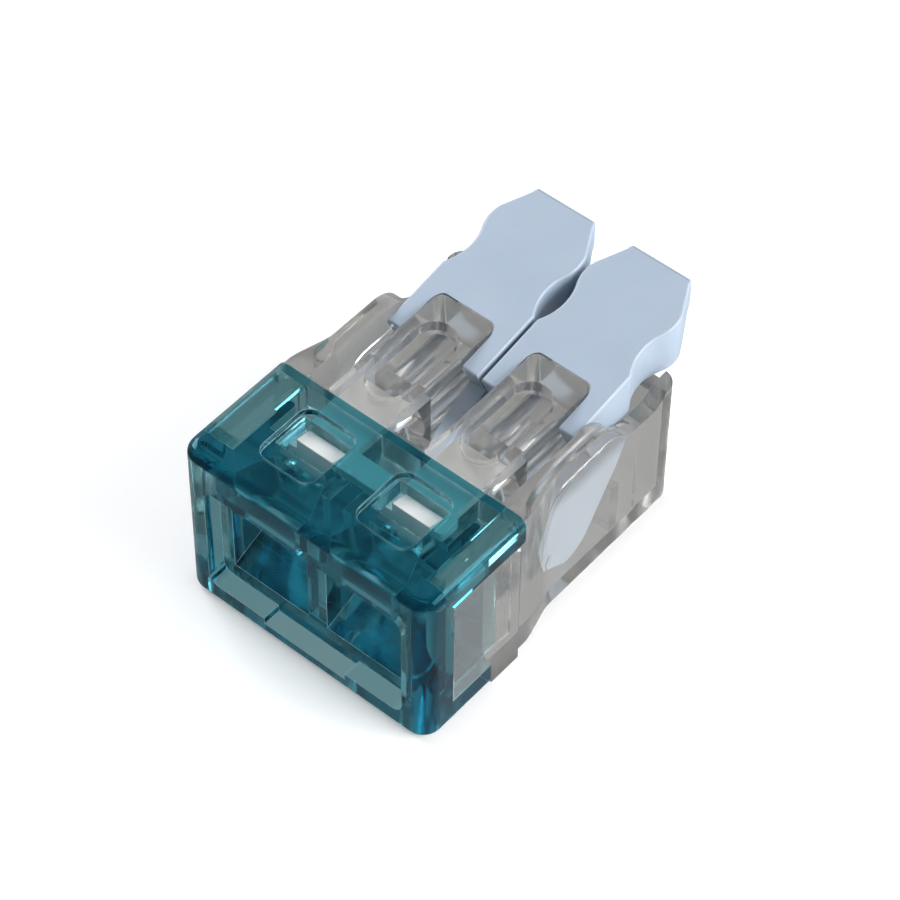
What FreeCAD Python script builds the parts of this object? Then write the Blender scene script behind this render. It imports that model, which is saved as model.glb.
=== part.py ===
"""Two-pole lever wire connector, a parametric FreeCAD document.

X runs across the poles, Y from the wire-entry face to the lever tips and Z up from the underside.
Every sub-part is drawn with the wire-entry face at Y = 0 and is then placed so that the origin lies
in the middle of the underside. Lengths are in millimetres.
"""
import FreeCAD, Part

import math
import os
import re

import Sketcher

# Driving dimensions: alias, value, meaning.
DIMENSIONS = [
    ("width", 13.1, "overall width across the poles"),
    ("height", 8.75, "height of the front cover"),
    ("body_length", 17.0, "wire-entry face to the rear wall"),
    ("pole_pitch", 5.1, "distance between the two poles"),
    ("cover_depth", 6.1, "depth of the front cover's roof"),
    ("skirt_depth", 4.1, "depth of the front cover's floor"),
    ("sill", 1.25, "top of the front cover's floor"),
    ("roof", 7.6, "underside of the front cover's roof"),
    ("window_top", 7.4, "top of the cover's side windows"),
    ("pillar", 1.7, "thickness of the cover's front frame"),
    ("window_inner", 5.2, "half width inside the side windows"),
    ("cover_back", 4.3, "rear end of the funnel blocks"),
    ("block_inner", 0.75, "funnel block, side next to the middle"),
    ("block_outer", 4.7, "inside of the solid wall beside a funnel"),
    ("cheek_outer", 5.1, "outside of that wall behind the funnel"),
    ("cheek_back", 5.1, "rear end of that wall"),
    ("cheek_radius", 0.18, "rear corners of that wall"),
    ("partition", 0.35, "half thickness of the wall between poles"),
    ("inner_gap_front", 2.2, "front of the gap beside the wall between poles"),
    ("corner_radius", 0.9, "cover's front upright corners"),
    ("top_radius", 0.5, "cover's upper edges"),
    ("foot_radius", 0.3, "cover's lower edges"),
    ("recess_half", 5.25, "half width of the front recess"),
    ("recess_depth", 0.9, "depth of the front recess"),
    ("recess_low", 1.0, "bottom of the front recess"),
    ("recess_high", 6.9, "top of the front recess"),
    ("recess_radius", 0.55, "corners of the front recess"),
    ("dip_half", 2.2, "half width of the dip in the recess floor"),
    ("dip_depth", 0.35, "depth of that dip"),
    ("funnel_width", 4.1, "wire funnel, width at the mouth"),
    ("funnel_low", 1.75, "wire funnel, bottom at the mouth"),
    ("funnel_high", 6.5, "wire funnel, top at the mouth"),
    ("funnel_back", 2.8, "rear end of the wire funnel"),
    ("wire_height", 5.45, "height of the wire axis"),
    ("entry_radius", 1.35, "round wire entry behind the funnel"),
    ("well_size", 2.9, "shallow recess of the test well, along X"),
    ("well_front", 1.75, "front of the test well"),
    ("well_back", 5.0, "rear of the test well"),
    ("well_depth", 0.35, "depth of the shallow recess"),
    ("well_radius", 0.6, "corners of the shallow recess"),
    ("port_half", 1.3, "half width of the test port"),
    ("port_front", 2.95, "front of the test port"),
    ("port_slope", 0.1, "run of the port's sloping front wall"),
    ("port_back", 4.65, "rear of the test port"),
    ("bus_front", 3.75, "front of the current bar"),
    ("bus_cross", 4.9, "rear of the bar's cross plate"),
    ("bus_back", 8.3, "rear of the bar's contact tongues"),
    ("bus_low", 7.0, "underside of the current bar"),
    ("bus_thick", 0.5, "thickness of the current bar"),
    ("bus_half", 4.15, "half width of the current bar"),
    ("contact_half", 1.3, "half width of a contact tongue"),
    ("pad_half", 1.0, "half width of a test pad"),
    ("pad_back", 4.6, "rear of a test pad"),
    ("pad_top", 8.05, "top of a test pad, at its front edge"),
    ("pad_fall", 0.2, "fall of a test pad towards its rear edge"),
    ("shell_front", 5.75, "where the flush side panels end"),
    ("shell_wide", 6.4, "half width of the shell behind the panels"),
    ("shell_half", 5.9, "half width of the shell at the levers"),
    ("neck_start", 6.7, "start of the shell's narrowing"),
    ("neck_end", 8.5, "end of the shell's narrowing"),
    ("neck_radius", 2.2, "bends of the narrowing"),
    ("inner_half", 5.15, "half width inside the shell"),
    ("shell_top", 8.5, "top of the shell's side walls"),
    ("floor_top", 0.9, "top of the shell's floor"),
    ("rear_inner", 16.15, "inside of the rear wall"),
    ("rear_radius", 0.8, "shell's rear upright corners"),
    ("rear_top", 6.55, "top of the rear wall"),
    ("finger_start", 11.2, "start of the finger notch"),
    ("finger_low", 6.65, "bottom of the finger notch"),
    ("finger_deep", 14.2, "front end of the notch's flat bottom"),
    ("finger_bend", 1.75, "bends of the notch's front slope"),
    ("finger_lift", 1.6, "bend at the notch's rear end"),
    ("finger_rise", 15.2, "rear end of the notch's flat bottom"),
    ("corner_top", 7.2, "top of the rear corners"),
    ("tongue_half", 1.525, "half width of a clear tongue"),
    ("tongue_front", 6.12, "front end of a tongue"),
    ("tongue_back", 13.4, "rear end of a tongue"),
    ("tongue_top", 8.5, "top of a tongue"),
    ("tongue_plate", 7.65, "underside of a tongue's front plate"),
    ("tongue_low", 4.0, "underside of a tongue's rear block"),
    ("block_front", 9.2, "front of a tongue's rear block"),
    ("tunnel_radius", 1.2, "wire tunnel in the tongue"),
    ("tunnel_back", 12.5, "blind end of the wire tunnel"),
    ("slot_half", 0.95, "half width of the oblong recess on a tongue"),
    ("slot_front", 7.3, "front of that oblong recess"),
    ("slot_back", 12.2, "rear of that oblong recess"),
    ("slot_depth", 0.55, "depth of that oblong recess"),
    ("web_back", 6.4, "rear face of the shell's front web"),
    ("web_low", 6.2, "underside of the front web"),
    ("rib_front", 12.9, "front of the rear cross rib"),
    ("rib_top", 3.6, "top of the rear cross rib"),
    ("pivot_y", 10.2, "lever axis, from the wire-entry face"),
    ("pivot_z", 2.95, "lever axis, above the underside"),
    ("pin_radius", 0.6, "stub pins of the shell"),
    ("pin_reach", 2.1, "end of a stub pin, from the pole's middle"),
    ("pin_clearance", 0.05, "running clearance on the stub pins"),
    ("bearing_half", 1.4, "half width of a bearing rib"),
    ("bearing_front", 9.65, "front of a bearing rib"),
    ("bearing_back", 10.75, "rear of a bearing rib"),
    ("arch_depth", 0.15, "depth of that relief"),
    ("arch_front", 8.0, "front edge of that relief"),
    ("arch_back", 14.6, "rear edge of that relief"),
    ("arch_bend", 2.6, "bends of that relief"),
    ("lever_half", 2.475, "half width of a lever"),
    ("arm_gap_half", 1.625, "half the gap between a lever's arms"),
    ("hub_radius", 1.8, "round lower end of an arm"),
    ("throat_radius", 6.47, "arc of the lever behind the tongue"),
    ("throat_corner", 0.45, "upright corners of that opening in the lever"),
    ("lever_front", 11.0, "upper front corner of the arms, Y"),
    ("lever_front_top", 8.1, "upper front corner of the arms, Z"),
    ("lever_tip", 19.9, "lever tip, Y"),
    ("lever_tip_top", 9.7, "lever tip, Z"),
    ("tip_thick", 0.95, "lever thickness at the tip"),
    ("lever_under", 6.9, "underside of the lever"),
    ("chin", 18.0, "where the underside curves up to the tip"),
    ("chin_radius", 3.2, "radius of that curve"),
    ("arm_heel", 15.0, "where the underside turns down into the arms"),
    ("arm_knee_y", 13.5, "bend in the arms' rear edge, Y"),
    ("arm_knee_z", 4.6, "bend in the arms' rear edge, Z"),
    ("lobe_front", 7.95, "front of the hub's hooked lobe"),
    ("lobe_z", 3.2, "height of that front point"),
    ("hook_y", 8.28, "lower end of that front edge, Y"),
    ("hook_z", 2.3, "lower end of that front edge, Z"),
    ("throat_y", 11.6, "hollow in the arms' front edge, Y"),
    ("throat_z", 6.75, "hollow in the arms' front edge, Z"),
    ("brow_radius", 6.0, "bulge of the arms' front edge"),
    ("neck", 14.7, "start of the paddle's waist"),
    ("waist_end", 16.95, "end of the waist's hollow"),
    ("waist_edge", 2.26, "half width at that end"),
    ("waist_radius", 2.4, "radius of the waist's hollow"),
    ("ear", 18.3, "end of the paddle's round ears"),
    ("ear_edge", 2.34, "half width at that end"),
    ("ear_radius", 1.7, "radius of the ears"),
    ("tip_half", 1.66, "half width of the tip"),
    ("tip_radius", 0.35, "corners of the tip"),
    ("tip_start", 19.6, "start of those corners, Y"),
    ("tip_end", 19.98, "end of those corners, just past the tip"),
    ("catch_y", 8.82, "spring catch in the hub, Y"),
    ("catch_z", 2.45, "spring catch in the hub, Z"),
    ("catch_radius", 0.42, "radius of the spring catch"),
    ("strip_half", 1.2, "half width of the spring strip"),
    ("strip_thick", 0.3, "thickness of the spring strip"),
    ("strip_base", 1.1, "middle of the spring's base above the underside"),
    ("strip_end", 9.3, "rear end of the spring's base"),
    ("loop_front", 4.5, "front of the spring's loop"),
    ("loop_top", 3.35, "top corner of the spring's loop"),
    ("crest_y", 7.95, "corner over the spring's rounded crest, Y"),
    ("crest_z", 7.5, "corner over the spring's rounded crest, Z"),
    ("catch_bar_half", 2.25, "half length of the spring's catch bar"),
    ("catch_bar_radius", 0.3, "radius of the spring's catch bar"),
]

POLES = (("left", -1), ("right", 1))
TOLERANCE = 1e-3
BEYOND = 1.0    # how far a cutter runs past the face it opens
OVERLAP = 0.1   # how far two joined blocks reach into each other


def make_sheet(doc):
    """Writes the driving dimensions, one per row: name, value, meaning."""
    sheet = doc.addObject("Spreadsheet::Sheet", "dims")
    for row, (alias, value, meaning) in enumerate(DIMENSIONS, start=1):
        sheet.set("A%d" % row, alias)
        sheet.set("B%d" % row, str(value))
        sheet.setAlias("B%d" % row, alias)
        sheet.set("C%d" % row, meaning)
    doc.recompute()
    return sheet


def bound(text):
    """Turns 'width / 2' into an expression on the sheet: 'dims.width / 2'."""
    aliases = {alias for alias, _, _ in DIMENSIONS}
    return re.sub("[a-z_]+", lambda word: "dims." * (word[0] in aliases) + word[0], text)


def number(owner, text):
    """The value, in millimetres, that an expression on the sheet has now."""
    return float(owner.evalExpression(bound(text)))


def pole(side):
    """The expression for the X of a pole's middle."""
    return "( %d * pole_pitch / 2 )" % side


def mirrored(side, low, high):
    """The X span of a block that is given on the right and mirrored for side -1."""
    if side > 0:
        return (low, high)
    return ("-1 * ( %s )" % high, "-1 * ( %s )" % low)


def new_body(doc, label):
    """A body whose placement brings the middle of the underside to the origin."""
    body = doc.addObject("PartDesign::Body", label)
    body.Label = label
    body.setExpression("Placement.Base.y", bound("-1 * body_length / 2"))
    return body


def block(body, name, x_span, y_span, z_span, cut=False):
    """Adds or cuts a block between two corners given as expressions."""
    kind = "Subtractive" if cut else "Additive"
    feature = body.newObject("PartDesign::%sBox" % kind, name)
    spans = zip(("x", "y", "z"), ("Length", "Width", "Height"), (x_span, y_span, z_span))
    for axis, size, (low, high) in spans:
        feature.setExpression("Placement.Base." + axis, bound(low))
        feature.setExpression(size, bound("( %s ) - ( %s )" % (high, low)))
    return feature


def bar(body, name, x_span, y_text, z_text, radius, cut=False):
    """Adds or cuts a round bar that lies along X."""
    kind = "Subtractive" if cut else "Additive"
    feature = body.newObject("PartDesign::%sCylinder" % kind, name)
    feature.Placement.Rotation = FreeCAD.Rotation(FreeCAD.Vector(0, 1, 0), 90)
    feature.setExpression("Placement.Base.x", bound(x_span[0]))
    feature.setExpression("Placement.Base.y", bound(y_text))
    feature.setExpression("Placement.Base.z", bound(z_text))
    feature.setExpression("Radius", bound(radius))
    feature.setExpression("Height", bound("( %s ) - ( %s )" % (x_span[1], x_span[0])))
    return feature


def bore(body, name, x_text, z_text, y_span, radius):
    """Cuts a round hole that runs along Y."""
    feature = body.newObject("PartDesign::SubtractiveCylinder", name)
    feature.Placement.Rotation = FreeCAD.Rotation(FreeCAD.Vector(1, 0, 0), -90)
    feature.setExpression("Placement.Base.x", bound(x_text))
    feature.setExpression("Placement.Base.y", bound(y_span[0]))
    feature.setExpression("Placement.Base.z", bound(z_text))
    feature.setExpression("Radius", bound(radius))
    feature.setExpression("Height", bound("( %s ) - ( %s )" % (y_span[1], y_span[0])))
    return feature


def arc_between(start, end, radius):
    """A circle arc from start to end, less than half a turn.

    It bulges to the right of the way it runs, or to the left where the radius is negative.
    """
    chord = end - start
    middle = (start + end) / 2
    inward = FreeCAD.Vector(-chord.y, chord.x, 0).normalize() * math.copysign(1, radius)
    reach = math.sqrt(radius ** 2 - (chord.Length / 2) ** 2)
    crown = middle + inward * (reach - abs(radius))
    return Part.Arc(start, crown, end)


def outline(body, name, plane_role, offset, corners):
    """A closed sketch through corners (x, y) or (x, y, radius), all of them expressions.

    The side that leaves a corner with a radius is an arc: see arc_between. Every corner and every
    radius is bound to the sheet.
    """
    plane = next(f for f in body.Origin.OriginFeatures if f.Role == plane_role)
    sketch = body.newObject("Sketcher::SketchObject", name)
    sketch.AttachmentSupport = [(plane, "")]
    sketch.MapMode = "FlatFace"
    sketch.setExpression("AttachmentOffset.Base.z", bound(offset))
    points = [FreeCAD.Vector(number(body, c[0]), number(body, c[1]), 0) for c in corners]
    count = len(corners)
    ends = []
    for index, corner in enumerate(corners):
        start, end = points[index], points[(index + 1) % count]
        radius = number(body, corner[2]) if len(corner) == 3 else 0
        side = arc_between(start, end, radius) if radius else Part.LineSegment(start, end)
        sketch.addGeometry(side, False)
        ends.append((2, 1) if radius < 0 else (1, 2))
    for index, corner in enumerate(corners):
        following = (index + 1) % count
        joint = Sketcher.Constraint("Coincident", index, ends[index][1], following, ends[following][0])
        sketch.addConstraint(joint)
    for index, corner in enumerate(corners):
        for kind, axis in (("DistanceX", 0), ("DistanceY", 1)):
            place = Sketcher.Constraint(kind, -1, 1, index, ends[index][0], points[index][axis])
            sketch.setExpression("Constraints[%d]" % sketch.addConstraint(place), bound(corner[axis]))
        if len(corner) == 3:
            radius = "abs(%s)" % corner[2]
            bend = Sketcher.Constraint("Radius", index, number(body, radius))
            sketch.setExpression("Constraints[%d]" % sketch.addConstraint(bend), bound(radius))
    return sketch


def extrude(body, name, sketch, length, cut=False):
    """Pads a sketch along its normal, or pockets the same room."""
    feature = body.newObject("PartDesign::Pocket" if cut else "PartDesign::Pad", name)
    feature.Profile = sketch
    feature.setExpression("Length", bound(length))
    if cut:
        feature.Reversed = True
    return feature


def round_edges(body, name, radius, chosen):
    """Fillets those edges of the body for which chosen(edge) is true."""
    body.Document.recompute()
    base = body.Tip
    names = ["Edge%d" % (i + 1) for i, edge in enumerate(base.Shape.Edges) if chosen(edge)]
    if not names:
        raise RuntimeError("no edges to round in " + name)
    feature = body.newObject("PartDesign::Fillet", name)
    feature.Base = (base, names)
    feature.setExpression("Radius", bound(radius))
    return feature


def runs_along(edge, axis):
    """True for a straight edge parallel to the axis with that index."""
    if edge.Curve.TypeId != "Part::GeomLine":
        return False
    return abs(abs(edge.tangentAt(edge.FirstParameter)[axis]) - 1) < TOLERANCE


def lies_at(edge, axis, value):
    """True for an edge whose points all have that coordinate."""
    box = edge.BoundBox
    low = (box.XMin, box.YMin, box.ZMin)[axis]
    high = (box.XMax, box.YMax, box.ZMax)[axis]
    return abs(low - value) < TOLERANCE and abs(high - value) < TOLERANCE


def cover_shell(body):
    """The cover's outer block with its rounded edges."""
    block(body, "outer_block", ("-1 * width / 2", "width / 2"), ("0", "cover_depth"), ("0", "height"))
    round_edges(body, "front_corners", "corner_radius",
                lambda e: runs_along(e, 2) and lies_at(e, 1, 0))
    top, back = number(body, "height"), number(body, "cover_depth")
    round_edges(body, "upper_edges", "top_radius",
                lambda e: lies_at(e, 2, top) and not lies_at(e, 1, back))
    round_edges(body, "lower_edges", "foot_radius",
                lambda e: lies_at(e, 2, 0) and not lies_at(e, 1, back))


def cover_openings(body):
    """Side windows, the room behind the funnel blocks and the solid walls beside it."""
    past_side = "width / 2 + %s" % BEYOND
    past_back = "cover_depth + %s" % BEYOND
    block(body, "under_step", ("-1 * ( %s )" % past_side, past_side), ("skirt_depth", past_back),
          ("-1 * %s" % BEYOND, "sill"), cut=True)
    block(body, "rear_room", ("-1 * window_inner", "window_inner"), ("cover_back", past_back),
          ("sill", "roof"), cut=True)
    block(body, "bar_slot", ("-1 * block_outer", "block_outer"), ("bus_front - 0.3", past_back),
          ("bus_low - 0.1", "roof"), cut=True)
    back = number(body, "cheek_back")
    for side_name, side in POLES:
        block(body, "window_" + side_name, mirrored(side, "window_inner - %s" % OVERLAP, past_side),
              ("pillar", past_back), ("sill", "window_top"), cut=True)
        block(body, "inner_gap_" + side_name, mirrored(side, "partition", "block_inner"),
              ("inner_gap_front", past_back), ("sill", "roof"), cut=True)
        block(body, "cheek_" + side_name, mirrored(side, "block_outer", "cheek_outer"),
              ("cover_back - %s" % OVERLAP, "cheek_back"), ("sill + 0.1", "roof + %s" % OVERLAP))
        round_edges(body, "cheek_corners_" + side_name, "cheek_radius",
                    lambda e: runs_along(e, 2) and lies_at(e, 1, back) and e.CenterOfMass.x * side > 0)


def cover_front(body):
    """The recessed wire-entry face with its funnels and round entries."""
    block(body, "front_recess", ("-1 * recess_half", "recess_half"),
          ("-1 * %s" % BEYOND, "recess_depth"), ("recess_low", "recess_high"), cut=True)
    half = number(body, "recess_half")
    round_edges(body, "recess_corners", "recess_radius",
                lambda e: runs_along(e, 1) and abs(abs(e.CenterOfMass.x) - half) < TOLERANCE
                and e.CenterOfMass.y < number(body, "recess_depth"))
    block(body, "recess_dip", ("-1 * dip_half", "dip_half"), ("-1 * %s" % BEYOND, "recess_depth"),
          ("recess_low - dip_depth", "recess_low + %s" % OVERLAP), cut=True)
    for side_name, side in POLES:
        middle = pole(side)
        mouth = outline(body, "funnel_mouth_" + side_name, "XZ_Plane", "-1 * recess_depth", [
            (middle + " - funnel_width / 2", "funnel_low"),
            (middle + " + funnel_width / 2", "funnel_low"),
            (middle + " + funnel_width / 2", "funnel_high"),
            (middle + " - funnel_width / 2", "funnel_high")])
        throat = outline(body, "funnel_throat_" + side_name, "XZ_Plane", "-1 * funnel_back", [
            (middle + " - entry_radius", "wire_height - entry_radius"),
            (middle + " + entry_radius", "wire_height - entry_radius"),
            (middle + " + entry_radius", "wire_height + entry_radius"),
            (middle + " - entry_radius", "wire_height + entry_radius")])
        funnel = body.newObject("PartDesign::SubtractiveLoft", "funnel_" + side_name)
        funnel.Profile = mouth
        funnel.Sections = [throat]
        funnel.Ruled = True
        bore(body, "wire_entry_" + side_name, middle, "wire_height",
             ("funnel_back - %s" % OVERLAP, "cover_back + %s" % OVERLAP), "entry_radius")


def cover_wells(body):
    """The stepped test wells over the current bar."""
    for side_name, side in POLES:
        middle = pole(side)
        span = (middle + " - well_size / 2", middle + " + well_size / 2")
        block(body, "well_" + side_name, span, ("well_front", "well_back"),
              ("height - well_depth", "height + %s" % BEYOND), cut=True)
        low_x, high_x = number(body, span[0]), number(body, span[1])
        round_edges(body, "well_corners_" + side_name, "well_radius",
                    lambda e: runs_along(e, 2) and (abs(e.CenterOfMass.x - low_x) < TOLERANCE
                                                    or abs(e.CenterOfMass.x - high_x) < TOLERANCE))
        port = outline(body, "port_outline_" + side_name, "YZ_Plane", middle + " - port_half", [
            ("port_front", "bus_low - %s" % OVERLAP), ("port_back", "bus_low - %s" % OVERLAP),
            ("port_back", "height + %s" % OVERLAP), ("port_front - port_slope", "height + %s" % OVERLAP)])
        extrude(body, "port_" + side_name, port, "2 * port_half", cut=True)


def make_front_cover(doc):
    """The coloured cover on the wire-entry side."""
    body = new_body(doc, "front_cover")
    cover_shell(body)
    cover_openings(body)
    cover_front(body)
    cover_wells(body)
    return body


def housing_shell(body):
    """Side walls, floor, rear wall and the nose that fits into the cover."""
    plan = outline(body, "shell_plan", "XY_Plane", "0", [
        ("-1 * shell_wide", "shell_front"), ("shell_wide", "shell_front"),
        ("shell_wide", "neck_start"), ("shell_half", "neck_end"), ("shell_half", "body_length"),
        ("-1 * shell_half", "body_length"), ("-1 * shell_half", "neck_end"),
        ("-1 * shell_wide", "neck_start")])
    extrude(body, "shell", plan, "shell_top")
    start, end = number(body, "neck_start"), number(body, "neck_end")
    round_edges(body, "neck_bends", "neck_radius", lambda e: runs_along(e, 2)
                and min(abs(e.CenterOfMass.y - start), abs(e.CenterOfMass.y - end)) < TOLERANCE)
    back = number(body, "body_length")
    round_edges(body, "rear_corners", "rear_radius",
                lambda e: runs_along(e, 2) and lies_at(e, 1, back))
    round_edges(body, "foot_edges", "foot_radius",
                lambda e: lies_at(e, 2, 0) and e.BoundBox.YMax > end)
    block(body, "nose_floor", ("-1 * width / 2", "width / 2"),
          ("skirt_depth + 0.05", "shell_front + %s" % OVERLAP), ("0", "sill - 0.05"))
    for side_name, side in POLES:
        block(body, "side_panel_" + side_name, mirrored(side, "window_inner + 0.05", "width / 2"),
              ("pillar + 0.05", "shell_front + %s" % OVERLAP), ("sill + 0.05", "window_top - 0.05"))
    block(body, "panel_foot", ("-1 * width / 2", "width / 2"),
          ("skirt_depth + 0.05", "shell_front + %s" % OVERLAP), ("sill - %s" % OVERLAP, "sill + 0.15"))


def housing_room(body):
    """The room for the clamps and levers, the finger notch and the lowered rear wall."""
    past_side = "width / 2 + %s" % BEYOND
    past_top = "shell_top + %s" % BEYOND
    block(body, "inner_room", ("-1 * inner_half", "inner_half"), ("skirt_depth", "rear_inner"),
          ("floor_top", past_top), cut=True)
    block(body, "under_cover_roof", ("-1 * ( %s )" % past_side, past_side),
          ("shell_front - %s" % BEYOND, "cover_depth + 0.05"), ("window_top - 0.05", past_top), cut=True)
    block(body, "rear_opening", ("-1 * inner_half", "inner_half"),
          ("rear_inner - %s" % OVERLAP, "body_length + %s" % BEYOND), ("rear_top", past_top), cut=True)
    notch = outline(body, "finger_notch_profile", "YZ_Plane", "-1 * ( %s )" % past_side, [
        ("finger_start", past_top), ("finger_start", "shell_top", "-1 * finger_bend"),
        ("( finger_start + finger_deep ) / 2", "( shell_top + finger_low ) / 2", "finger_bend"),
        ("finger_deep", "finger_low"), ("finger_rise", "finger_low", "finger_lift"),
        ("body_length - 0.9", "corner_top"), ("body_length + %s" % BEYOND, "corner_top"),
        ("body_length + %s" % BEYOND, past_top)])
    extrude(body, "finger_notch", notch, "2 * ( %s )" % past_side, cut=True)
    for side_name, side in POLES:
        relief = outline(body, "arch_" + side_name, "YZ_Plane",
                         mirrored(side, "inner_half - %s" % OVERLAP, "inner_half + arch_depth")[0], [
            ("arch_front", "floor_top"), ("arch_back", "floor_top"),
            ("arch_back", "pivot_z + 2.3", "arch_bend"), ("arch_back - 1.9", "pivot_z + 4.1"),
            ("arch_front + 1.7", "pivot_z + 4.0", "arch_bend"), ("arch_front", "pivot_z + 2.3")])
        extrude(body, "relief_" + side_name, relief, "arch_depth + %s" % OVERLAP, cut=True)


def housing_inside(body):
    """Tongues with wire tunnels, bearing ribs with stub pins, the front web and the rear rib."""
    block(body, "rear_rib", ("-1 * inner_half - %s" % OVERLAP, "inner_half + %s" % OVERLAP),
          ("rib_front", "tongue_back"), ("floor_top - %s" % OVERLAP, "rib_top"))
    block(body, "front_web", ("-1 * shell_half", "shell_half"), ("tongue_front", "web_back"),
          ("web_low", "shell_top - 0.05"))
    for side_name, side in POLES:
        middle = pole(side)
        span = (middle + " - tongue_half", middle + " + tongue_half")
        block(body, "web_opening_" + side_name, span,
              ("cover_depth", "web_back + %s" % BEYOND), ("web_low - %s" % OVERLAP, "tongue_plate"), cut=True)
        block(body, "bearing_rib_" + side_name, (middle + " - bearing_half", middle + " + bearing_half"),
              ("bearing_front", "bearing_back"), ("floor_top - %s" % OVERLAP, "tongue_low + %s" % OVERLAP))
        block(body, "tongue_block_" + side_name, span, ("block_front", "tongue_back"),
              ("tongue_low", "tongue_top"))
        back = number(body, "tongue_back")
        low = number(body, "tongue_low")
        low_x, high_x, half = number(body, span[0]), number(body, span[1]), number(body, "tongue_half")
        round_edges(body, "tongue_corners_" + side_name, "rear_radius / 2",
                    lambda e: runs_along(e, 2) and lies_at(e, 1, back) and e.BoundBox.ZMax > low + 1
                    and (lies_at(e, 0, low_x) or lies_at(e, 0, high_x)))
        block(body, "tongue_plate_" + side_name, span, ("tongue_front", "block_front + %s" % OVERLAP),
              ("tongue_plate", "tongue_top"))
        block(body, "oblong_recess_" + side_name, (middle + " - slot_half", middle + " + slot_half"),
              ("slot_front", "slot_back"), ("tongue_top - slot_depth", "tongue_top + %s" % BEYOND), cut=True)
        ends = (number(body, "slot_front"), number(body, "slot_back"))
        round_edges(body, "oblong_ends_" + side_name, "slot_half - 0.02",
                    lambda e: runs_along(e, 2) and e.BoundBox.ZMin > low + 1
                    and (lies_at(e, 1, ends[0]) or lies_at(e, 1, ends[1]))
                    and abs(e.CenterOfMass.x - (low_x + high_x) / 2) < half)
        bore(body, "wire_tunnel_" + side_name, middle, "wire_height",
             ("block_front - %s" % OVERLAP, "tunnel_back"), "tunnel_radius")
        bar(body, "stub_pins_" + side_name, (middle + " - pin_reach", middle + " + pin_reach"),
            "pivot_y", "pivot_z", "pin_radius")


def make_housing(doc):
    """The clear housing that carries everything else."""
    body = new_body(doc, "housing")
    housing_shell(body)
    housing_room(body)
    housing_inside(body)
    return body


def make_lever(doc, side_name, side):
    """One lever: a paddle on two arms with round hubs, seen closed."""
    body = new_body(doc, "lever_" + side_name)
    middle = pole(side)
    profile = outline(body, "side_profile", "YZ_Plane", middle + " - lever_half", [
        ("hook_y", "hook_z"), ("pivot_y", "pivot_z - hub_radius", "hub_radius * 1.0001"),
        ("pivot_y + hub_radius * 0.8", "pivot_z - hub_radius * 0.6"),
        ("arm_knee_y", "arm_knee_z"), ("arm_heel - 0.6", "lever_under - 0.4"),
        ("arm_heel", "lever_under"), ("chin", "lever_under", "chin_radius"),
        ("lever_tip + 0.05", "lever_tip_top - tip_thick"), ("lever_tip", "lever_tip_top"),
        ("lever_front", "lever_front_top"), ("throat_y", "throat_z", "brow_radius"),
        ("lobe_front", "lobe_z")])
    extrude(body, "blank", profile, "2 * lever_half")
    for edge_name, edge_side in (("a", -1), ("b", 1)):
        inner = middle + " + %d * " % edge_side
        waist = outline(body, "waist_" + edge_name, "XY_Plane", "0", [
            (inner + "lever_half", "neck", "%d * waist_radius" % -edge_side),
            (inner + "waist_edge", "waist_end", "%d * ear_radius" % edge_side),
            (inner + "ear_edge", "ear"),
            (inner + "tip_half", "tip_start", "%d * 1.1 * tip_radius" % edge_side),
            (inner + "( tip_half - tip_radius )", "tip_end"),
            (inner + "( tip_half - tip_radius )", "lever_tip + %s" % BEYOND),
            (inner + "( lever_half + %s )" % BEYOND, "lever_tip + %s" % BEYOND),
            (inner + "( lever_half + %s )" % BEYOND, "neck")])
        extrude(body, "side_cut_" + edge_name, waist, "lever_tip_top + %s" % BEYOND, cut=True)
    bar(body, "throat", (middle + " - arm_gap_half", middle + " + arm_gap_half"),
        "pivot_y", "pivot_z", "throat_radius", cut=True)
    axis_y = number(body, "pivot_y")
    arc = number(body, "throat_radius")
    round_edges(body, "throat_corners", "throat_corner",
                lambda e: e.Curve.TypeId == "Part::GeomCircle" and abs(e.Curve.Radius - arc) < TOLERANCE
                and e.CenterOfMass.y > axis_y)
    bar(body, "pivot_bores", (middle + " - pin_reach - 0.1", middle + " + pin_reach + 0.1"),
        "pivot_y", "pivot_z", "pin_radius + pin_clearance", cut=True)
    past_sides = (middle + " - lever_half - %s" % BEYOND, middle + " + lever_half + %s" % BEYOND)
    bar(body, "spring_catch", past_sides, "catch_y", "catch_z", "catch_radius", cut=True)
    return body


def spring_path(sheet):
    """The middle line of the spring strip in the Y-Z plane, as straight runs with rounded bends."""
    corners = [(sheet.strip_end, sheet.strip_base, 0),
               (sheet.loop_front, sheet.strip_base, 1.0),
               (sheet.loop_front, sheet.loop_top, 0.9),
               (sheet.crest_y, sheet.crest_z - sheet.strip_thick / 2, 0.35),
               (sheet.catch_y + 0.05, sheet.catch_z, 0)]
    points = [FreeCAD.Vector(0, y, z) for y, z, _ in corners]
    edges = []
    start = points[0]
    for before, bend, after, (_, _, radius) in zip(points, points[1:], points[2:], corners[1:]):
        to_before = (before - bend).normalize()
        to_after = (after - bend).normalize()
        half_angle = to_before.getAngle(to_after) / 2
        run = radius / math.tan(half_angle)
        first, last = bend + to_before * run, bend + to_after * run
        inward = (to_before + to_after).normalize()
        crown = bend + inward * (radius / math.sin(half_angle) - radius)
        edges.append(Part.LineSegment(start, first).toShape())
        edges.append(Part.Arc(first, crown, last).toShape())
        start = last
    edges.append(Part.LineSegment(start, points[-1]).toShape())
    return Part.Wire(edges)


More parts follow.
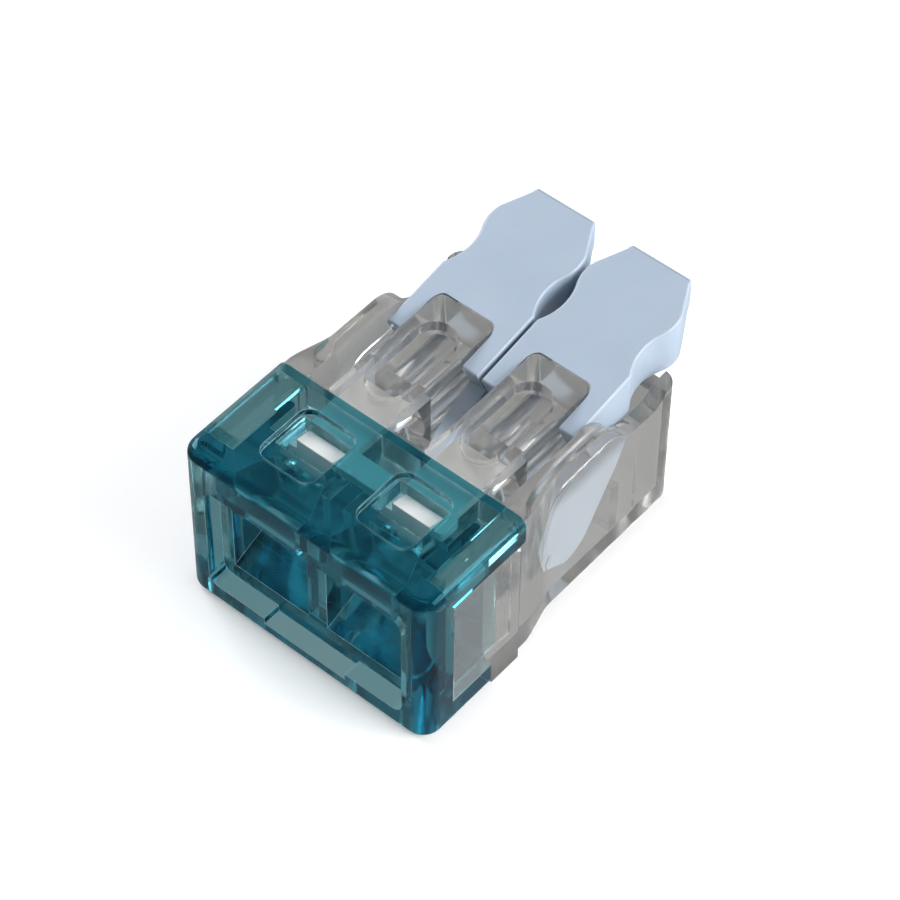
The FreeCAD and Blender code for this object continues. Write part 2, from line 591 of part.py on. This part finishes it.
def make_clamp_spring(doc, sheet, side_name, side):
    """A bent strip: base on the floor, loop, clamping crest and the bar that the lever catches."""
    spring = doc.addObject("Part::Feature", "clamp_spring_" + side_name)
    spring.Label = "clamp_spring_" + side_name
    middle = side * sheet.pole_pitch / 2
    band = spring_path(sheet).makeOffset2D(sheet.strip_thick / 2, 0, True, True)
    strip = band.extrude(FreeCAD.Vector(2 * sheet.strip_half, 0, 0))
    strip.translate(FreeCAD.Vector(middle - sheet.strip_half, 0, 0))
    bar_start = FreeCAD.Vector(middle - sheet.catch_bar_half, sheet.catch_y, sheet.catch_z)
    catch_bar = Part.makeCylinder(sheet.catch_bar_radius, 2 * sheet.catch_bar_half, bar_start,
                                  FreeCAD.Vector(1, 0, 0))
    spring.Shape = strip.fuse(catch_bar).removeSplitter()
    spring.setExpression("Placement.Base.y", bound("-1 * body_length / 2"))
    return spring


def make_current_bar(doc):
    """The tinned bar that joins the two poles, with a contact tongue and a test pad for each."""
    body = new_body(doc, "current_bar")
    block(body, "cross_plate", ("-1 * bus_half", "bus_half"), ("bus_front", "bus_cross"),
          ("bus_low", "bus_low + bus_thick"))
    for side_name, side in POLES:
        middle = pole(side)
        block(body, "contact_" + side_name, (middle + " - contact_half", middle + " + contact_half"),
              ("bus_cross - %s" % OVERLAP, "bus_back"), ("bus_low", "bus_low + bus_thick"))
        pad = outline(body, "pad_profile_" + side_name, "YZ_Plane", middle + " - pad_half", [
            ("bus_front", "bus_low + %s" % OVERLAP), ("pad_back", "bus_low + %s" % OVERLAP),
            ("pad_back", "pad_top - pad_fall"), ("bus_front", "pad_top")])
        extrude(body, "test_pad_" + side_name, pad, "2 * pad_half")
    half = number(body, "bus_half")
    round_edges(body, "plate_corners", "bus_thick / 2",
                lambda e: runs_along(e, 2) and abs(abs(e.CenterOfMass.x) - half) < TOLERANCE)
    return body


def check(doc, parts):
    """Stops if a feature failed or a sub-part isn't one valid solid."""
    for item in doc.Objects:
        if "Invalid" in item.State or "Error" in item.State:
            raise RuntimeError("feature failed: %s (%s)" % (item.Name, item.State))
    for part in parts:
        shape = part.Shape
        if shape.isNull() or not shape.isValid() or len(shape.Solids) != 1:
            raise RuntimeError("bad shape: %s, %d solids" % (part.Label, len(shape.Solids)))


def check_cuts(doc):
    """Stops if a cutting feature took nothing away."""
    for item in doc.Objects:
        cuts = item.TypeId == "PartDesign::Pocket" or item.TypeId.startswith("PartDesign::Subtractive")
        if cuts and item.BaseFeature.Shape.Volume - item.Shape.Volume < TOLERANCE:
            raise RuntimeError("nothing cut by " + item.Name)


def main():
    """Builds the document, checks it and writes one STEP file per sub-part."""
    doc = FreeCAD.newDocument("lever_connector")
    sheet = make_sheet(doc)
    parts = [make_front_cover(doc), make_housing(doc), make_current_bar(doc)]
    for side_name, side in POLES:
        parts.append(make_lever(doc, side_name, side))
        parts.append(make_clamp_spring(doc, sheet, side_name, side))
    doc.recompute()
    check(doc, parts)
    check_cuts(doc)
    os.makedirs("parts", exist_ok=True)
    for part in parts:
        part.Shape.exportStep("parts/%s.step" % part.Label)
        print(part.Label, round(part.Shape.Volume, 3))


main()
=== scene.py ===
"""A two-pole lever wire connector: clear mouldings, levers and metal parts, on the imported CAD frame."""

import math

import bmesh
import bpy
from mathutils import Matrix, Vector


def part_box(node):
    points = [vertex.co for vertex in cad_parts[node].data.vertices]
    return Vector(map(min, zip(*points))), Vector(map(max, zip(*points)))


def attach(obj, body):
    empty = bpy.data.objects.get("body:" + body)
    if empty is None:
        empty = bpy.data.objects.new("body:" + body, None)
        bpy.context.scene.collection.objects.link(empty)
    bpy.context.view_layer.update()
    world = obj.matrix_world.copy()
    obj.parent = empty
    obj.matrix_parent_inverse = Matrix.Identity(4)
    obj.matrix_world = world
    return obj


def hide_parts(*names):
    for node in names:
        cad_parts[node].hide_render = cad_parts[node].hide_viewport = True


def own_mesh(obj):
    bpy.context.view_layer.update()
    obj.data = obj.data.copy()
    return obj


MM = 0.001

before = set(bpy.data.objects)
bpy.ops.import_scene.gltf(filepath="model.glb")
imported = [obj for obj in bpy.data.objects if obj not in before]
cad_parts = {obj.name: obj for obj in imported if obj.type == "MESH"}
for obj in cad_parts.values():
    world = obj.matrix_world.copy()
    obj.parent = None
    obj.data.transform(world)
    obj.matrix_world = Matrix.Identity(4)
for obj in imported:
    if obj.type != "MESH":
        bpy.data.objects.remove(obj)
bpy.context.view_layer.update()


# ---------------------------------------------------------------- node helpers


class Nodes:
    """The node tree of a material or of the world, with short calls to add and link nodes."""

    def __init__(self, owner, output="ShaderNodeOutputMaterial"):
        owner.use_nodes = True
        self.owner = owner
        self.tree = owner.node_tree
        self.tree.nodes.clear()
        self.output = self.tree.nodes.new(output)

    def add(self, kind, inputs=None, **settings):
        """A new node; an input is given a plain value, or a socket to be linked to."""
        node = self.tree.nodes.new(kind)
        for key, value in settings.items():
            setattr(node, key, value)
        for key, value in (inputs or {}).items():
            if isinstance(value, bpy.types.NodeSocket):
                self.tree.links.new(value, node.inputs[key])
            else:
                node.inputs[key].default_value = value
        return node

    def calculate(self, operation, *values):
        """The result of that operation on plain values or sockets."""
        node = self.add("ShaderNodeMath", dict(enumerate(values)), operation=operation)
        return node.outputs[0]

    def point(self):
        return self.add("ShaderNodeTexCoord").outputs["Object"]

    def noise(self, scale, detail=3.0, roughness=0.55, stretch=(1, 1, 1)):
        place = self.add("ShaderNodeMapping", {"Vector": self.point(), "Scale": stretch})
        node = self.add("ShaderNodeTexNoise", {
            "Vector": place.outputs["Vector"], "Scale": scale, "Detail": detail, "Roughness": roughness})
        return node.outputs["Fac"]

    def spread(self, value, low, high, start=0.3, end=0.7):
        """value from start..end, by default the middle of a noise's range, mapped onto low..high."""
        node = self.add("ShaderNodeMapRange", {
            "Value": value, "From Min": start, "From Max": end, "To Min": low, "To Max": high})
        return node.outputs["Result"]

    def mix(self, factor, a, b):
        """Colour a where factor is 0 and colour b where it is 1."""
        node = self.add("ShaderNodeMix", data_type="RGBA")
        self.tree.links.new(factor, node.inputs["Factor"])
        node.inputs[6].default_value = a
        node.inputs[7].default_value = b
        return node.outputs[2]

    def clouded(self, noise, dark, light):
        """A colour that wanders between dark and light with the noise."""
        return self.mix(self.spread(noise, 0.0, 1.0), dark, light)

    def within(self, low, high, soft):
        """1 well inside the box from low to high, 0 outside it, with a soft change of that width."""
        axes = self.add("ShaderNodeSeparateXYZ", {0: self.point()})
        inside = None
        for axis, start, end in zip("XYZ", low, high):
            middle, half = (start + end) / 2, (end - start) / 2
            away = self.calculate("ABSOLUTE", self.calculate("SUBTRACT", axes.outputs[axis], middle))
            along = self.spread(away, 1.0, 0.0, half - soft, half)
            inside = along if inside is None else self.calculate("MINIMUM", inside, along)
        return inside

    def bump(self, height, strength, distance):
        return self.add("ShaderNodeBump", {
            "Height": height, "Strength": strength, "Distance": distance}).outputs["Normal"]

    def surface(self, shader):
        self.tree.links.new(shader.outputs[0], self.output.inputs["Surface"])

    def volume(self, shader):
        self.tree.links.new(shader.outputs[0], self.output.inputs["Volume"])


# ---------------------------------------------------------------- materials


CLEAR_IOR = 1.58
LEVER_IOR = 1.5

# The levers' arms, up to where they leave the housing, fading out over ARMS_FADE. There the levers glow
# with painted light, in place of lamplight that hardly reaches them through the clear walls.
ARMS_LOW = Vector((-6.6, -6.0, -1.0)) * MM
ARMS_HIGH = Vector((6.6, 6.5, 6.0)) * MM
ARMS_FADE = 0.9 * MM
ARMS_PAINTED_LIGHT = 0.42


def new_material(name):
    """The node tree of a new material, which is its owner."""
    return Nodes(bpy.data.materials.new(name))


def drawn_in(node, low, high):
    """The CAD node's box, drawn in by these millimetres at its lowest and at its highest corner."""
    lowest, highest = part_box(node)
    return lowest + Vector(low) * MM, highest - Vector(high) * MM


def clear_plastic(name, tints, absorbed, density, gloss, clarity, shine, hollow, matte):
    """A clear moulded plastic: flow marks in gloss and relief, and colour that deepens with depth.

    The walls inside the box called hollow are rougher than the rest, by matte.
    """
    n = new_material(name)
    flow = n.noise(180.0, 2.0, stretch=(1.0, 0.35, 1.0))
    fine = n.noise(2600.0, 4.0)
    in_hollow = n.within(*hollow, soft=0.1 * MM)
    n.surface(n.add("ShaderNodeBsdfPrincipled", {
        "Base Color": n.clouded(flow, *tints),
        "Roughness": n.calculate("MULTIPLY_ADD", in_hollow, matte, n.spread(fine, *gloss)),
        "IOR": CLEAR_IOR,
        "Transmission Weight": clarity,
        "Specular Tint": shine,
        "Normal": n.bump(flow, 0.15, 0.02 * MM)}))
    n.volume(n.add("ShaderNodeVolumeAbsorption", {"Color": absorbed, "Density": density}))
    return n.owner


def edge_highlight_plastic(name, tints, absorbed, density, clarity):
    """The rounded corners of a clear moulding: rougher, as if slightly frosted, and given a lighter, less
    clear colour, a painted highlight that makes them show as bright fine lines.
    """
    n = new_material(name)
    fine = n.noise(1400.0, 3.0)
    n.surface(n.add("ShaderNodeBsdfPrincipled", {
        "Base Color": n.clouded(fine, *tints),
        "Roughness": n.spread(fine, 0.12, 0.24),
        "IOR": CLEAR_IOR,
        "Transmission Weight": clarity}))
    n.volume(n.add("ShaderNodeVolumeAbsorption", {"Color": absorbed, "Density": density}))
    return n.owner


def lever_plastic():
    """Opaque bluish-white plastic with a fine grain.

    Little of the lamps' light is carried through the clear walls to the arms, so the arms glow with
    painted light of their own, which stands in for that lamplight.
    """
    n = new_material("lever_white")
    cloud = n.noise(240.0, 3.0)
    grain = n.noise(5200.0, 4.0, 0.6)
    arms = n.within(ARMS_LOW, ARMS_HIGH, ARMS_FADE)
    n.surface(n.add("ShaderNodeBsdfPrincipled", {
        "Base Color": n.clouded(cloud, (0.35, 0.43, 0.53, 1), (0.38, 0.46, 0.56, 1)),
        "Emission Color": (0.80, 0.90, 1.0, 1),
        # Painted light: the arms glow, standing in for lamplight that the clear walls do not carry to
        # them.
        "Emission Strength": n.spread(arms, 0.0, ARMS_PAINTED_LIGHT, 0.0, 1.0),
        "Roughness": n.spread(grain, 0.30, 0.42),
        "IOR": LEVER_IOR,
        "Subsurface Weight": 0.15,
        "Subsurface Scale": 0.6 * MM,
        "Normal": n.bump(grain, 0.07, 0.012 * MM)}))
    return n.owner


def rolled_metal(name, tints, gloss, stretch, metal):
    """Strip metal: fine rolling lines in the gloss and the relief, and slow clouding in the colour."""
    n = new_material(name)
    cloud = n.noise(420.0, 3.0)
    lines = n.noise(2400.0, 4.0, 0.6, stretch)
    n.surface(n.add("ShaderNodeBsdfPrincipled", {
        "Base Color": n.clouded(cloud, *tints),
        "Metallic": metal,
        "Roughness": n.spread(lines, *gloss),
        "Normal": n.bump(lines, 0.2, 0.006 * MM)}))
    return n.owner


TEAL = clear_plastic(
    "teal_clear", tints=((0.46, 0.79, 0.83, 1), (0.54, 0.83, 0.87, 1)),
    absorbed=(0.14, 0.68, 0.77, 1), density=400.0,
    gloss=(0.01, 0.03), clarity=1.0, shine=(0.06, 0.35, 0.45, 1),
    hollow=drawn_in("front_cover", (0.95, 1.15, 0.5), (0.95, 0.05, 0.45)), matte=0.16)
SMOKY = clear_plastic(
    "smoky_clear", tints=((0.92, 0.92, 0.91, 1), (0.97, 0.97, 0.96, 1)),
    absorbed=(0.50, 0.47, 0.42, 1), density=60.0,
    gloss=(0.02, 0.05), clarity=0.95, shine=(1, 1, 1, 1),
    hollow=drawn_in("housing", (1.25, 3.75, 0.3), (1.25, 0.7, 0.2)), matte=0.10)
# Painted highlight: the edge materials are lighter and less clear than the plastic, so the corners show
# as bright lines.
TEAL_EDGE_HIGHLIGHT = edge_highlight_plastic(
    "teal_edge_highlight", tints=((0.62, 0.94, 0.98, 1), (0.74, 0.97, 1.0, 1)),
    absorbed=(0.18, 0.66, 0.73, 1), density=480.0, clarity=0.35)
SMOKY_EDGE_HIGHLIGHT = edge_highlight_plastic(
    "smoky_edge_highlight", tints=((0.92, 0.93, 0.94, 1), (0.97, 0.98, 0.98, 1)),
    absorbed=(0.50, 0.47, 0.42, 1), density=60.0, clarity=0.5)
# What the rounded corners of each clear plastic are made of: a rougher plastic whose lighter colour is
# painted highlight.
EDGES = {TEAL.name: TEAL_EDGE_HIGHLIGHT, SMOKY.name: SMOKY_EDGE_HIGHLIGHT}
WHITE = lever_plastic()
STEEL = rolled_metal(
    "spring_steel", tints=((0.62, 0.61, 0.60, 1), (0.76, 0.75, 0.73, 1)),
    gloss=(0.16, 0.32), stretch=(8, 1, 1), metal=1.0)
TIN = rolled_metal(
    "tin_plate", tints=((0.88, 0.87, 0.86, 1), (0.95, 0.94, 0.93, 1)),
    gloss=(0.3, 0.45), stretch=(1, 8, 1), metal=0.15)


# ---------------------------------------------------------------- pieces


# Corner points of the CAD mesh closer than WELD are one point, and on the levers those closer than JOIN.
WELD = 0.001 * MM
JOIN = 0.03 * MM
# Faces that meet at less than FLAT are one face, and edges sharper than CORNER are rounded.
FLAT = math.radians(1.0)
CORNER = math.radians(28)

MOULDED_EDGE = 0.10 * MM
LEVER_EDGE = 0.12 * MM
METAL_EDGE = 0.05 * MM
EDGE_SEGMENTS = 3

# A lever's top looks along LEVER_UP, to within the angle whose cosine is SAME_WAY. Its rim is rounded
# more, apart from the edges of the opening for the tongue: those within OPENING_HALF of the lever's
# middle and in front of OPENING_BACK.
LEVER_SLOPE = math.radians(10.2)
LEVER_UP = Vector((0, -math.sin(LEVER_SLOPE), math.cos(LEVER_SLOPE)))
SAME_WAY = 0.999
RIM_RADIUS = 0.16 * MM
RIM_SEGMENTS = 3
OPENING_HALF = 1.66 * MM
OPENING_BACK = 5.4 * MM


def welded(node):
    """The CAD node's shape as one closed mesh of large faces, as a bmesh."""
    bm = bmesh.new()
    bm.from_mesh(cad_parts[node].data)
    bmesh.ops.remove_doubles(bm, verts=bm.verts, dist=WELD)
    bmesh.ops.dissolve_limit(bm, angle_limit=FLAT, verts=bm.verts, edges=bm.edges)
    return bm


def settle(made):
    """Applies the piece's modifiers."""
    graph = bpy.context.evaluated_depsgraph_get()
    mesh = bpy.data.meshes.new_from_object(made.evaluated_get(graph))
    made.modifiers.clear()
    made.data = mesh
    mesh.name = made.name


def piece(name, bm, body, material, edge_radius):
    """A new object of that mesh, with every corner rounded, and the corners of clear plastic given a
    rougher material whose lighter colour is painted highlight.
    """
    mesh = bpy.data.meshes.new(name)
    bm.to_mesh(mesh)
    bm.free()
    mesh.materials.append(material)
    for polygon in mesh.polygons:
        polygon.material_index = 0
        polygon.use_smooth = True
    made = bpy.data.objects.new(name, mesh)
    bpy.context.scene.collection.objects.link(made)
    rounding = made.modifiers.new("edges", "BEVEL")
    rounding.width = edge_radius
    rounding.segments = EDGE_SEGMENTS
    rounding.limit_method = "ANGLE"
    rounding.angle_limit = CORNER
    rounding.use_clamp_overlap = True
    rounding.harden_normals = False
    # The rounded corners of clear plastic get the lighter edge material, a painted highlight.
    if material.name in EDGES:
        mesh.materials.append(EDGES[material.name])
        rounding.material = 1
    even = made.modifiers.new("normals", "WEIGHTED_NORMAL")
    even.mode = "FACE_AREA"
    even.keep_sharp = True
    settle(made)
    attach(made, body)
    return made


def moulding(name, node, body, material, edge_radius):
    """The piece that stands for a CAD node of the same shape."""
    made = piece(name, welded(node), body, material, edge_radius)
    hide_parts(node)
    return made


def round_rim(bm, opening_middle):
    """Rounds the edges of the faces that look along LEVER_UP; those of the opening stay crisp."""
    top = {f for f in bm.faces if f.normal.dot(LEVER_UP) > SAME_WAY}
    rim = []
    for edge in bm.edges:
        middle = (edge.verts[0].co + edge.verts[1].co) / 2
        at_opening = abs(middle.x - opening_middle) < OPENING_HALF and middle.y < OPENING_BACK
        bounds_top = edge.is_manifold and len(top.intersection(edge.link_faces)) == 1
        if bounds_top and edge.calc_face_angle() > CORNER and not at_opening:
            rim.append(edge)
    bmesh.ops.bevel(bm, geom=rim, offset=RIM_RADIUS, segments=RIM_SEGMENTS, profile=0.5,
                    affect="EDGES", clamp_overlap=False)


def lever(side):
    """The lever, with the rim of its top rounded before its other corners."""
    node = "lever_" + side
    low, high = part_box(node)
    bm = welded(node)
    bmesh.ops.remove_doubles(bm, verts=bm.verts, dist=JOIN)
    round_rim(bm, (low.x + high.x) / 2)
    made = piece(node + "_moulding", bm, node + "_body", WHITE, LEVER_EDGE)
    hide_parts(node)


def spring(side):
    """The clamp spring, on a mesh of its own; in the connector it is pressed down as its lever opens."""
    strip = moulding("spring_strip_" + side, "clamp_spring_" + side, "connector_body",
                     STEEL, METAL_EDGE)
    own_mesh(strip)


moulding("cover_moulding", "front_cover", "connector_body", TEAL, MOULDED_EDGE)
moulding("housing_moulding", "housing", "connector_body", SMOKY, MOULDED_EDGE)
moulding("current_bar_plate", "current_bar", "connector_body", TIN, METAL_EDGE)
for side in ("left", "right"):
    lever(side)
    spring(side)


# ---------------------------------------------------------------- floor, light and camera


FLOOR_REACH = 1.5
FLOOR_DROP = 0.02 * MM
FLOOR_GLOW = 0.26

# The floor glows less in this box under the object, fading over UNDER_FADE. This is painted shade under
# the object, which also keeps its shadow there.
UNDER_LOW = Vector((-7, -9, -1)) * MM
UNDER_HIGH = Vector((7, 9, 1)) * MM
UNDER_FADE = 2.5 * MM

# The room's shade at the horizon, at the height called MIDDLE and from the height called OVERHEAD up,
# where straight up is 1. GROUND is what is left of its light below the horizon, from GROUND_FROM down.
HORIZON_SHADE = (1.0, 1.0, 1.0, 1)
MIDDLE = 0.36
MIDDLE_SHADE = (0.85, 0.85, 0.86, 1)
OVERHEAD = 0.66
OVERHEAD_SHADE = (0.34, 0.345, 0.35, 1)
GROUND = 0.36
GROUND_FROM = -0.06

# The room is brightest in this direction, behind the object and to the right, and dimmest opposite it.
BRIGHT_SIDE = (0.80, 0.60, 0.0)
DIMMEST = 0.55
BRIGHTEST = 1.35

# The camera stands in front of the wire entries, to the right of them, and looks down.
VIEW_AZIMUTH = math.radians(39.56)
VIEW_ELEVATION = math.radians(49.92)
VIEW_ROLL = math.radians(0.72)
VIEW_AIM = Vector((-0.616, 1.474, 4.0)) * MM
VIEW_DISTANCE = 143.16 * MM
LENS_MM = 136.9
SENSOR_MM = 36.0

LAMP_AIM = Vector((0, 0, 4 * MM))
CLEAR_BOUNCES = 24
GLOSSY_BOUNCES = 8


def floor():
    """A pale floor with no edge in view, darker under the object by painted shade.

    Rays that the plastic mirrors or lets through miss the floor and meet the room's dimmer ground.
    """
    n = new_material("pale_floor")
    under = n.within(UNDER_LOW, UNDER_HIGH, UNDER_FADE)
    n.surface(n.add("ShaderNodeBsdfPrincipled", {
        "Base Color": n.clouded(n.noise(3.0, 2.0), (0.85, 0.85, 0.855, 1), (0.87, 0.87, 0.87, 1)),
        "Roughness": 0.9,
        "Emission Color": (1, 1, 1, 1),
        # Painted shade: no glow in the box under the object.
        "Emission Strength": n.spread(under, FLOOR_GLOW, 0.0, 0.0, 1.0),
        "Specular IOR Level": 0.1}))
    mesh = bpy.data.meshes.new("floor")
    corners = [(x * FLOOR_REACH, y * FLOOR_REACH, -FLOOR_DROP)
               for x, y in ((-1, -1), (1, -1), (1, 1), (-1, 1))]
    mesh.from_pydata(corners, [], [(0, 1, 2, 3)])
    mesh.materials.append(n.owner)
    made = bpy.data.objects.new("floor", mesh)
    bpy.context.scene.collection.objects.link(made)
    made.visible_glossy = False
    made.visible_transmission = False


def direction(azimuth, elevation):
    """A unit vector; azimuth 0 is on the -Y side, in front of the wire entries, and 90 degrees is +X."""
    flat = math.cos(elevation)
    return Vector((math.sin(azimuth) * flat, -math.cos(azimuth) * flat, math.sin(elevation)))


def aimed(place, target, roll=0.0):
    """A turn that points an object's -Z from place to target, with its +Y upwards."""
    turn = (target - place).to_track_quat("-Z", "Y")
    return turn @ Matrix.Rotation(roll, 3, "Z").to_quaternion()


def softbox(name, azimuth, elevation, distance, width, height, watts, colour):
    """A large soft lamp round the object, aimed at its middle."""
    light = bpy.data.lights.new(name, "AREA")
    light.shape = "RECTANGLE"
    light.size = width
    light.size_y = height
    light.energy = watts
    light.color = colour
    made = bpy.data.objects.new(name, light)
    bpy.context.scene.collection.objects.link(made)
    made.location = direction(math.radians(azimuth), math.radians(elevation)) * distance
    made.rotation_mode = "QUATERNION"
    made.rotation_quaternion = aimed(made.location, LAMP_AIM)


def room():
    """The light all round: bright low down, dim overhead and below, brighter on one side."""
    world = bpy.data.worlds.new("studio")
    bpy.context.scene.world = world
    n = Nodes(world, "ShaderNodeOutputWorld")
    towards = n.add("ShaderNodeTexCoord").outputs["Generated"]
    height = n.add("ShaderNodeSeparateXYZ", {0: towards}).outputs["Z"]
    ramp = n.add("ShaderNodeValToRGB", {0: height})
    stops = ramp.color_ramp.elements
    stops[0].position, stops[0].color = 0.0, HORIZON_SHADE
    stops[1].position, stops[1].color = OVERHEAD, OVERHEAD_SHADE
    stops.new(MIDDLE).color = MIDDLE_SHADE
    facing = n.add("ShaderNodeVectorMath", {0: towards, 1: BRIGHT_SIDE}, operation="DOT_PRODUCT")
    side = n.spread(facing.outputs["Value"], DIMMEST, BRIGHTEST, -1.0, 1.0)
    above = n.spread(height, GROUND, 1.0, GROUND_FROM, 0.0)
    n.surface(n.add("ShaderNodeBackground", {
        "Color": ramp.outputs[0], "Strength": n.calculate("MULTIPLY", side, above)}))


def lamps():
    softbox("window", azimuth=112, elevation=30, distance=0.5, width=0.36, height=0.32,
            watts=2.7, colour=(1.0, 0.99, 0.98))
    softbox("lamp", azimuth=262, elevation=34, distance=0.5, width=0.28, height=0.28,
            watts=2.0, colour=(0.97, 0.98, 1.0))


def camera():
    data = bpy.data.cameras.new("camera")
    data.lens = LENS_MM
    data.sensor_width = SENSOR_MM
    data.clip_start = 0.01
    data.clip_end = 10.0
    made = bpy.data.objects.new("camera", data)
    bpy.context.scene.collection.objects.link(made)
    made.location = VIEW_AIM + direction(VIEW_AZIMUTH, VIEW_ELEVATION) * VIEW_DISTANCE
    made.rotation_mode = "QUATERNION"
    made.rotation_quaternion = aimed(made.location, VIEW_AIM, VIEW_ROLL)
    bpy.context.scene.camera = made


floor()
room()
lamps()
camera()
bpy.context.scene.view_settings.view_transform = "Standard"
bpy.context.scene.cycles.max_bounces = CLEAR_BOUNCES
bpy.context.scene.cycles.transmission_bounces = CLEAR_BOUNCES
bpy.context.scene.cycles.glossy_bounces = GLOSSY_BOUNCES
